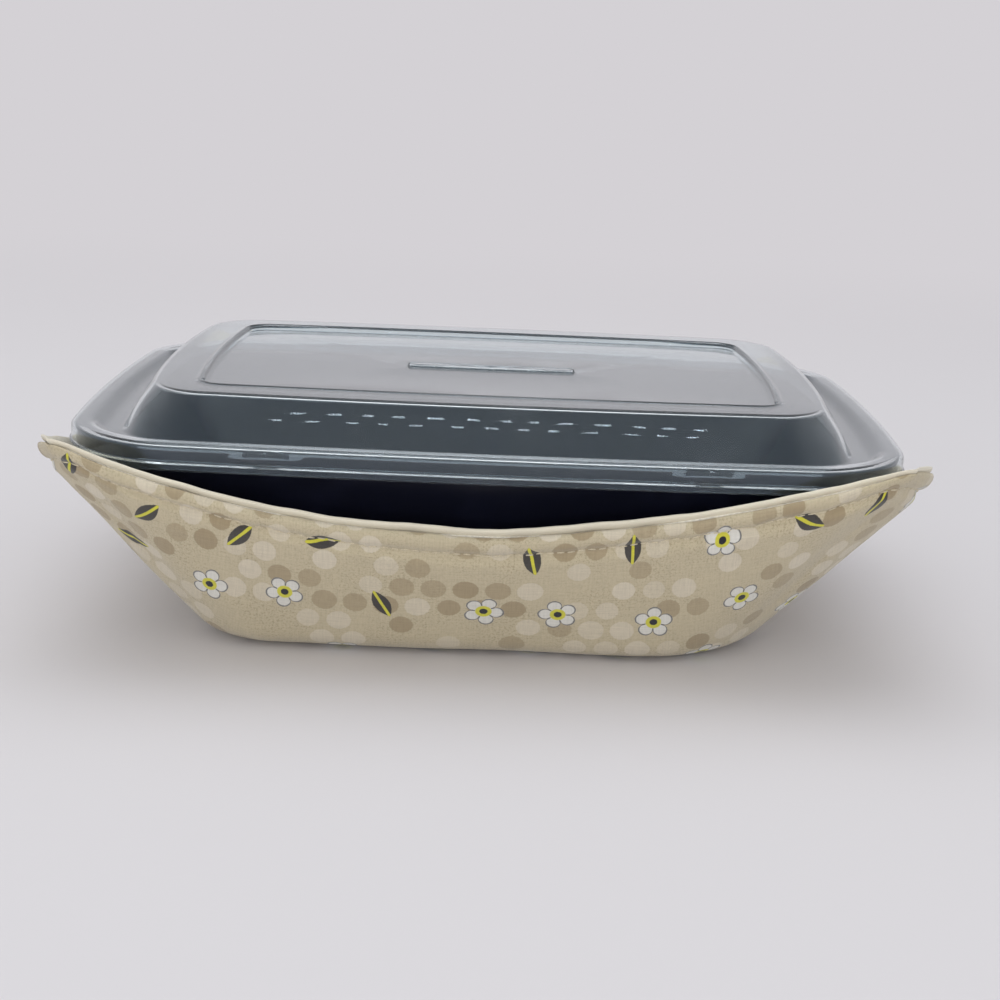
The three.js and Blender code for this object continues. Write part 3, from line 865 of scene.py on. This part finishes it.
def sew_cloth(name, node, material, depth, edge, inwards):
    """One fabric of the cozy, with its flat cut as the cloth's UV map."""
    cozy = bpy.context.scene.cozy_sizes
    columns = cozy_columns()
    soft, plain = cozy_face(columns, cozy_rows(depth, edge), inwards)
    flat = flat_cloth(columns, plain)
    skin = rolled_grid(soft, flat)
    turn_faces(skin, min, up=inwards)
    cloth = add_piece(skin, name, material, "cozy", [node])
    thicken(cloth, cozy.fabric)


class COZY_OT_cloths(bpy.types.Operator):
    """Sew the printed outer cloth and the plain lining"""

    bl_idname = "cozy.cloths"
    bl_label = "Cloths"

    def execute(self, context):
        colours = context.scene.cozy_colours
        stack = context.scene.cozy_sizes.stack
        printed, plain = printed_cotton(colours), plain_cotton(colours.lining)
        sew_cloth("outer_cloth", "outer_fabric", printed, stack, OUTER_EDGE, False)
        sew_cloth("lining_cloth", "lining_fabric", plain, 0, LINING_EDGE, True)
        return {"FINISHED"}


class COZY_OT_wadding(bpy.types.Operator):
    """Lay the two sheets of wadding between the fabrics"""

    bl_idname = "cozy.wadding"
    bl_label = "Wadding"

    def execute(self, context):
        sizes = context.scene.cozy_sizes
        finish = fibrous("cotton_wadding", context.scene.cozy_colours.wadding, 900.0)
        columns = cozy_columns()
        inner = cozy_rows(0, LINING_EDGE[:WADDING_ROWS])
        outer = cozy_rows(sizes.stack, OUTER_EDGE[:WADDING_ROWS])
        for name, node, shares in (
            ("lining_wadding", "lining_batting", LINING_WADDING),
            ("outer_wadding", "outer_batting", OUTER_WADDING),
        ):
            faces = []
            for share in shares:
                rows = []
                for low, high in zip(inner, outer):
                    near, far = low.depth + sizes.fabric, high.depth - sizes.fabric
                    rows.append(Row(low.zone, low.at, near + (far - near) * share, 0))
                faces.append(cozy_face(columns, rows, False)[1])
            skin = rolled_grid(faces[0] + faces[1][::-1])
            bmesh.ops.recalc_face_normals(skin, faces=skin.faces)
            add_piece(skin, name, finish, "cozy", [node])
        return {"FINISHED"}


def sew(skin, line, closed):
    """Lay stitches along a line of places with their way out: beads drawn in at both ends."""
    sizes = bpy.context.scene.cozy_sizes
    route = line + line[:1] if closed else line
    lengths = [(b[0] - a[0]).length for a, b in zip(route, route[1:])]
    count = round(sum(lengths) / sizes.stitch_pitch)
    pitch = sum(lengths) / count
    travelled, segment = 0.0, 0
    for stitch in range(count):
        target = (stitch + 0.5) * pitch
        while travelled + lengths[segment] < target:
            travelled += lengths[segment]
            segment += 1
        share = (target - travelled) / lengths[segment]
        (start, out), (stop, _) = route[segment], route[segment + 1]
        along = (stop - start).normalized()
        side = out.cross(along).normalized()
        turn = Matrix((along, side, along.cross(side))).transposed().to_4x4()
        bead = Matrix.Diagonal((pitch * STITCH_LENGTH, sizes.thread * STITCH_WIDTH, sizes.thread, 1))
        spot = Matrix.Translation(start.lerp(stop, share)) @ turn @ bead
        bmesh.ops.create_uvsphere(skin, u_segments=6, v_segments=6, radius=1, matrix=spot)


def stitch_line(columns, edge_row, lift, inwards):
    """Places along a sewn row all round the cozy, lifted out of the soft cloth, with their way out."""
    height, depth = edge_row
    row = Row("rim", height * MM, depth * MM, RIM_PUFF)
    soft, _ = cozy_face(columns, [row], inwards)
    outs = [column.spot(row)[1] for column in columns]
    return [(place + out * lift, out) for place, out in zip(soft[0], outs)]


class COZY_OT_stitching(bpy.types.Operator):
    """Sew the topstitching, the edge's seam and the darts"""

    bl_idname = "cozy.stitching"
    bl_label = "Stitching"

    def execute(self, context):
        sizes = context.scene.cozy_sizes
        finish = fibrous("spun_thread", context.scene.cozy_colours.thread, 4000.0)
        columns = cozy_columns()
        lift = STITCH_LIFT * sizes.thread
        rows = (
            ("topstitches", "topstitch_thread", OUTER_EDGE[STITCH_ROW], lift, False),
            ("bobbin_stitches", "topstitch_bobbin_thread", LINING_EDGE[STITCH_ROW], -lift, True),
            ("edge_stitches", "rim_seam_thread", SEAM, 0.0, False),
        )
        for name, node, edge_row, out, inwards in rows:
            skin = bmesh.new()
            sew(skin, stitch_line(columns, edge_row, out, inwards), True)
            add_piece(skin, name, finish, "cozy", [node])
        self.sew_darts(columns, finish, sizes)
        return {"FINISHED"}

    @staticmethod
    def sew_darts(columns, finish, sizes):
        for end, turn in (("right", 1), ("left", 3)):
            column = next(c for c in columns if c.turn == turn and abs(c.share) < 1e-6)
            for layer, share in DART_LAYERS.items():
                line = []
                for step in range(DART_STEPS + 1):
                    below = sizes.dart_start + sizes.dart_length * step / DART_STEPS
                    place = column.edge - column.up * below
                    line.append((place + column.high_out * sizes.stack * share, column.high_out))
                skin = bmesh.new()
                sew(skin, line, False)
                node = f"{layer}_dart_thread_{end}"
                add_piece(skin, f"{layer}_dart_stitches_{end}", finish, "cozy", [node])


# A level ring of the container: half sizes, height, corner radius and how much its sides bow
Level = namedtuple("Level", "x y z radius bow")
SHORT_SIDE_BOW = 4 * MM
LONG_SIDE_BOW = 3 * MM
RIM_RADIUS = 26 * MM

# Tub: the flange, and the foot's corner with the round it turns on
FLANGE_RISE = 5.4 * MM
FLANGE_OVERHANG = 6.2 * MM
FLANGE_SLOPE = 1.2 * MM
FLANGE_WIDTH = 3.6 * MM
NECK_RADIUS = 19.8 * MM
FOOT_RADIUS = 34 * MM
FOOT_INSET = 16 * MM
FOOT_BEND = 11 * MM

# Lid: hem, skirt, bead and valley, then the dome's sides, margin, recess and lifting bar. A pair is
# for the ends and the long sides.
REST_GAP = 0.3 * MM
HEM_HEIGHT = 1.9 * MM
HEM_STEP = 0.5 * MM
HEM_SLOPE = 0.35 * MM
SKIRT_OUT = 1.3 * MM
BEAD_WIDTH = 3.9 * MM
VALLEY_START = 6.3 * MM
VALLEY_DEPTH = 2.3 * MM
DOME_INSET = (12 * MM, 9.5 * MM)
DOME_LEAN = (6.5 * MM, 6 * MM)
DOME_MARGIN = (13.5 * MM, 12 * MM)
DOME_RADII = (16 * MM, 14.5 * MM, 13 * MM)
LIP_WIDTH = 1.3 * MM
RECESS_DEPTH = 1.9 * MM
RECESS_RADIUS = 5 * MM
BAR_HALF = (24 * MM, 1.7 * MM)
BAR_RISE = 1.0 * MM
BAR_LEAN = 0.4 * MM
BAR_SURROUND = 18 * MM

# Lid: press-fit lugs on the skirt, and the oval that sags in the panel
LUG_PLACE = 54 * MM
LUG_HALF_LENGTH = 8 * MM
LUG_HEIGHT = 3.6 * MM
LUG_HALF_HEIGHT = 1.5 * MM
SAG_HALF_LENGTH = 76 * MM
SAG_HALF_WIDTH = 48 * MM
DETAIL_BAND = 3 * MM


def level_ring(level, corner_steps=18, long_steps=72, short_steps=50):
    """Points of a bowed, round-cornered rectangle, counter-clockwise from above."""
    points = []
    corners = ((1, 1), (-1, 1), (-1, -1), (1, -1))
    inner = (max(level.x - level.radius, 0), max(level.y - level.radius, 0))

    def on_corner(corner, quarters):
        sx, sy = corners[corner % 4]
        turn = quarters * math.pi / 2
        return sx * inner[0] + level.radius * math.cos(turn), sy * inner[1] + level.radius * math.sin(turn)

    for corner in range(4):
        points += [on_corner(corner, corner + step / corner_steps) for step in range(corner_steps + 1)]
        (x, y), (end_x, end_y) = points[-1], on_corner(corner + 1, corner + 1)
        steps = short_steps if corner % 2 else long_steps
        for step in range(1, steps):
            share = step / steps
            points.append((x + (end_x - x) * share, y + (end_y - y) * share))
    half_x, half_y = max(level.x, MM), max(level.y, MM)
    ring = []
    for x, y in points:
        pull_x = 1 - level.bow * SHORT_SIDE_BOW / half_x * (y / half_y) ** 2
        pull_y = 1 - level.bow * LONG_SIDE_BOW / half_y * (x / half_x) ** 2
        ring.append(Vector((x * pull_x, y * pull_y, level.z)))
    return ring


def mix_levels(a, b, share):
    return Level(*(p + (q - p) * share for p, q in zip(a, b)))


def soften_profile(levels, rounding, steps=4):
    """Round every inner level of a profile, with a bend as long as its entry in rounding."""
    def gap(a, b):
        return math.hypot((a.x + a.y - b.x - b.y) / 2, a.z - b.z)

    profile = [levels[0]]
    for before, here, after, bend in zip(levels, levels[1:], levels[2:], rounding):
        if not bend:
            profile.append(here)
            continue
        start = mix_levels(here, before, min(bend / max(gap(here, before), 1e-9), 0.5))
        end = mix_levels(here, after, min(bend / max(gap(here, after), 1e-9), 0.5))
        for step in range(steps + 1):
            share = step / steps
            profile.append(mix_levels(mix_levels(start, here, share), mix_levels(here, end, share), share))
    return profile + [levels[-1]]


def inset(half, by):
    return half[0] - by[0], half[1] - by[1]


def outwards(half, out, z, radius, bow=1.0):
    return Level(half[0] + out, half[1] + out, z, radius, bow)


def centre(level):
    """The level shrunk to its middle, where a pole closes."""
    return Level(0, 0, level.z, 0, 0)


class COZY_OT_tub(bpy.types.Operator):
    """Mould the dark tub with its flange"""

    bl_idname = "cozy.tub"
    bl_label = "Meal Tub"

    def execute(self, context):
        sizes = context.scene.tub_sizes
        rim = (TUB_HIGH.x, TUB_HIGH.y)
        foot = (sizes.foot_length / 2, sizes.foot_width / 2)
        wall = sizes.wall
        flange_foot = TUB_HIGH.z - FLANGE_RISE
        neck = (rim[0] - FLANGE_OVERHANG, rim[1] - FLANGE_OVERHANG)
        levels = [
            outwards(foot, -FOOT_INSET, TUB_LOW.z, FOOT_RADIUS - FOOT_INSET, 0),
            outwards(foot, 0, TUB_LOW.z, FOOT_RADIUS, 0),
            outwards(neck, 0, flange_foot, NECK_RADIUS),
            outwards(rim, 0, flange_foot + FLANGE_SLOPE, RIM_RADIUS),
            outwards(rim, 0, TUB_HIGH.z, RIM_RADIUS),
            outwards(rim, -FLANGE_WIDTH, TUB_HIGH.z, RIM_RADIUS - FLANGE_WIDTH),
            outwards(neck, -wall, flange_foot + 0.8 * wall, NECK_RADIUS - wall),
            outwards(foot, -0.9 * wall, TUB_LOW.z + wall, FOOT_RADIUS - wall, 0),
            outwards(foot, -FOOT_INSET - wall, TUB_LOW.z + wall, FOOT_RADIUS - FOOT_INSET - wall, 0),
        ]
        bends = (FOOT_BEND, 0.8 * MM, 1 * MM, 1 * MM, 1 * MM, 0.8 * MM, FOOT_BEND)
        profile = soften_profile(levels, bends, 6)
        rings = [level_ring(level) for level in (centre(profile[0]), *profile, centre(profile[-1]))]
        skin = rolled_grid(rings)
        bmesh.ops.recalc_face_normals(skin, faces=skin.faces)
        finish = dark_plastic(context.scene.cozy_colours.tub)
        add_piece(skin, "meal_tub", finish, "tub", ["tub"])
        return {"FINISHED"}


def lid_profile(sizes):
    """Levels from the skirt's lower edge over the bead and dome to the panel's bar."""
    rim = (TUB_HIGH.x, TUB_HIGH.y)
    hem_top = LID_LOW.z + HEM_HEIGHT
    bead_top = TUB_HIGH.z + REST_GAP + sizes.lid_wall
    valley = bead_top - VALLEY_DEPTH
    dome_top = LID_HIGH.z
    margin = dome_top - sizes.margin_fall
    floor = dome_top - RECESS_DEPTH
    foot = inset(rim, DOME_INSET)
    crown = inset(foot, DOME_LEAN)
    panel = inset(crown, DOME_MARGIN)
    waist = inset(foot, [lean / 2 for lean in DOME_LEAN])

    def on_rim(out, z):
        return outwards(rim, out, z, RIM_RADIUS + out)

    def on_bar(out, z, radius):
        return outwards(BAR_HALF, out, z, radius, 0)

    levels = [
        on_rim(SKIRT_OUT + HEM_STEP, LID_LOW.z),
        on_rim(SKIRT_OUT + HEM_STEP, hem_top),
        on_rim(SKIRT_OUT, hem_top + HEM_SLOPE),
        on_rim(SKIRT_OUT, bead_top),
        on_rim(-BEAD_WIDTH, bead_top),
        on_rim(-VALLEY_START, valley),
        outwards(foot, 0.3 * MM, valley, DOME_RADII[0]),
        outwards(waist, sizes.wall_swell, (valley + dome_top) / 2, DOME_RADII[1]),
        outwards(crown, 0, margin, DOME_RADII[2]),
        outwards(panel, 2 * LIP_WIDTH, margin, RECESS_RADIUS + 2 * LIP_WIDTH, 0.6),
        outwards(panel, LIP_WIDTH, dome_top, RECESS_RADIUS + LIP_WIDTH, 0.6),
        outwards(panel, 0, floor, RECESS_RADIUS, 0.5),
        on_bar(BAR_SURROUND, floor, 8 * MM),
        on_bar(0, floor, BAR_HALF[1]),
        on_bar(-BAR_LEAN, floor + BAR_RISE, BAR_HALF[1] - BAR_LEAN),
    ]
    bends = [bend * MM for bend in (0.25, 0.25, 1.9, 1.5, 1.2, 1.0, 6.5, 1.1, 0.5, 0.5, 0.6, 0, 0.3)]
    return dense_skirt(soften_profile(levels, bends, 5))


def dense_skirt(profile):
    """The profile with extra levels in the skirt, so that its lugs have points to stand on."""
    dense = []
    for level, after in zip(profile, profile[1:]):
        dense.append(level)
        if after.z - level.z > LUG_HALF_HEIGHT * 0.8 and level.x > TUB_HIGH.x:
            dense += [mix_levels(level, after, step / 5) for step in range(1, 5)]
    return dense + [profile[-1]]


def mould_details(point, sizes):
    """Move a point for the lugs on the skirt and the sag of the panel."""
    beside = abs(abs(point.x) - LUG_PLACE) / LUG_HALF_LENGTH
    level = abs(point.z - (LID_LOW.z + LUG_HEIGHT)) / LUG_HALF_HEIGHT
    swell = 1 - beside ** 2 - level ** 2
    if swell > 0 and abs(point.y) > TUB_HIGH.y - DETAIL_BAND:
        point.y += math.copysign(sizes.lug_reach * math.sqrt(swell), point.y)
    floor_share = (point.x / SAG_HALF_LENGTH) ** 2 + (point.y / SAG_HALF_WIDTH) ** 2
    if floor_share < 1 and point.z > LID_HIGH.z - DETAIL_BAND:
        point.z -= sizes.panel_sag * (1 - floor_share)


class COZY_OT_lid(bpy.types.Operator):
    """Form the clear press-fit lid with its dome, recess and lifting bar"""

    bl_idname = "cozy.lid"
    bl_label = "Clear Lid"

    def execute(self, context):
        sizes = context.scene.tub_sizes
        profile = lid_profile(sizes)
        rings = [level_ring(level) for level in (*profile, centre(profile[-1]))]
        for ring in rings:
            for point in ring:
                mould_details(point, sizes)
        skin = rolled_grid(rings)
        turn_faces(skin, max, up=True)
        finish = clear_plastic(context.scene.cozy_colours)
        lid = add_piece(skin, "clear_lid", finish, "lid", ["lid"])
        thicken(lid, sizes.lid_wall)
        return {"FINISHED"}


# Rows of small lamps in front, as height and distance, for the glints on the lid
SPOT_ROWS = ((0.70, 0.68), (0.82, 0.62))
SPOTS_IN_ROW = 13
SPOT_GAP = 0.037
SPOT_STAGGER = 0.4
SPOT_SIZE = (0.013, 0.011)


class COZY_OT_stage(bpy.types.Operator):
    """Set the floor, the soft lights and the camera"""

    bl_idname = "cozy.stage"
    bl_label = "Stage"

    def execute(self, context):
        look = context.scene.stage_look
        self.floor(look)
        middle = Vector((0, 0, 0.03))
        self.light("key_light", look.key, Vector((-0.1, 0.15, 1.2)), (1.2, 1.2), middle)
        self.light("fill_light", look.fill, Vector((-0.2, -1.6, 0.3)), (2.4, 0.9), middle)
        for row, (height, away) in enumerate(SPOT_ROWS):
            for lamp in range(SPOTS_IN_ROW):
                along = (lamp - SPOTS_IN_ROW // 2 + SPOT_STAGGER * row) * SPOT_GAP
                place = Vector((along, -away, height))
                self.light(f"spot_{row}_{lamp}", look.spot, place, SPOT_SIZE, middle)
        context.scene.world = studio_sky(look.sky, look.backdrop)
        self.camera(context, look)
        context.scene.view_settings.view_transform = "Standard"
        return {"FINISHED"}

    @staticmethod
    def floor(look):
        """A level floor that curves up into a backdrop."""
        half_width, depth, bend, rise, back, under = 4.0, 8.0, 0.5, 1.4, 1.6, 0.2 * MM
        sheet = bmesh.new()
        bmesh.ops.create_grid(sheet, x_segments=2, y_segments=60, size=1)
        for vert in sheet.verts:
            run = (vert.co.y + 1) / 2 * (depth + bend * math.pi / 2 + rise)
            turn = min(max(run - depth, 0) / bend, math.pi / 2)
            over = max(run - depth - bend * math.pi / 2, 0)
            y = min(run, depth) - depth + back + bend * math.sin(turn)
            vert.co = (vert.co.x * half_width, y, bend * (1 - math.cos(turn)) + over - under)
        add_skin(sheet, "floor", pale_floor(look.floor, look.backdrop))

    @staticmethod
    def light(name, power, place, size, target):
        lamp = bpy.data.lights.new(name, "AREA")
        lamp.energy = power
        lamp.shape = "RECTANGLE"
        lamp.size, lamp.size_y = size
        turn = (target - place).to_track_quat("-Z", "Y").to_matrix().to_4x4()
        add_object(name, lamp).matrix_world = Matrix.Translation(place) @ turn

    @staticmethod
    def camera(context, look):
        lens = bpy.data.cameras.new("photo_view")
        lens.lens = look.lens
        lens.sensor_width = 36
        lens.clip_start = 0.01
        view = add_object("photo_view", lens)
        view.matrix_world = (
            Matrix.Translation(look.camera)
            @ Matrix.Rotation(-look.yaw, 4, "Z")
            @ Matrix.Rotation(math.pi / 2 - look.pitch, 4, "X")
            @ Matrix.Rotation(-look.roll, 4, "Z")
        )
        context.scene.camera = view


OPERATORS = (
    COZY_OT_cloths,
    COZY_OT_wadding,
    COZY_OT_stitching,
    COZY_OT_tub,
    COZY_OT_lid,
    COZY_OT_stage,
)
GROUPS = {
    "tub_sizes": TubSizes,
    "cozy_sizes": CozySizes,
    "cozy_colours": CozyColours,
    "stage_look": StageLook,
}


class COZY_PT_panel(bpy.types.Panel):
    """Lists the cozy's steps and settings"""

    bl_idname = "COZY_PT_panel"
    bl_label = "Tub Cozy"
    bl_space_type = "VIEW_3D"
    bl_region_type = "UI"
    bl_category = "Tub Cozy"

    def draw(self, context):
        for operator in OPERATORS:
            self.layout.operator(operator.bl_idname)
        for group, kind in GROUPS.items():
            box = self.layout.box()
            for name in kind.__annotations__:
                box.prop(getattr(context.scene, group), name)


def register():
    for kind in (*GROUPS.values(), *OPERATORS, COZY_PT_panel):
        bpy.utils.register_class(kind)
    for name, kind in GROUPS.items():
        setattr(bpy.types.Scene, name, PointerProperty(type=kind))


def unregister():
    for name in GROUPS:
        delattr(bpy.types.Scene, name)
    for kind in (COZY_PT_panel, *reversed(OPERATORS), *reversed(GROUPS.values())):
        bpy.utils.unregister_class(kind)


def main():
    register()
    bpy.ops.cozy.cloths()
    bpy.ops.cozy.wadding()
    bpy.ops.cozy.stitching()
    bpy.ops.cozy.tub()
    bpy.ops.cozy.lid()
    bpy.ops.cozy.stage()


if __name__ == "__main__":
    main()
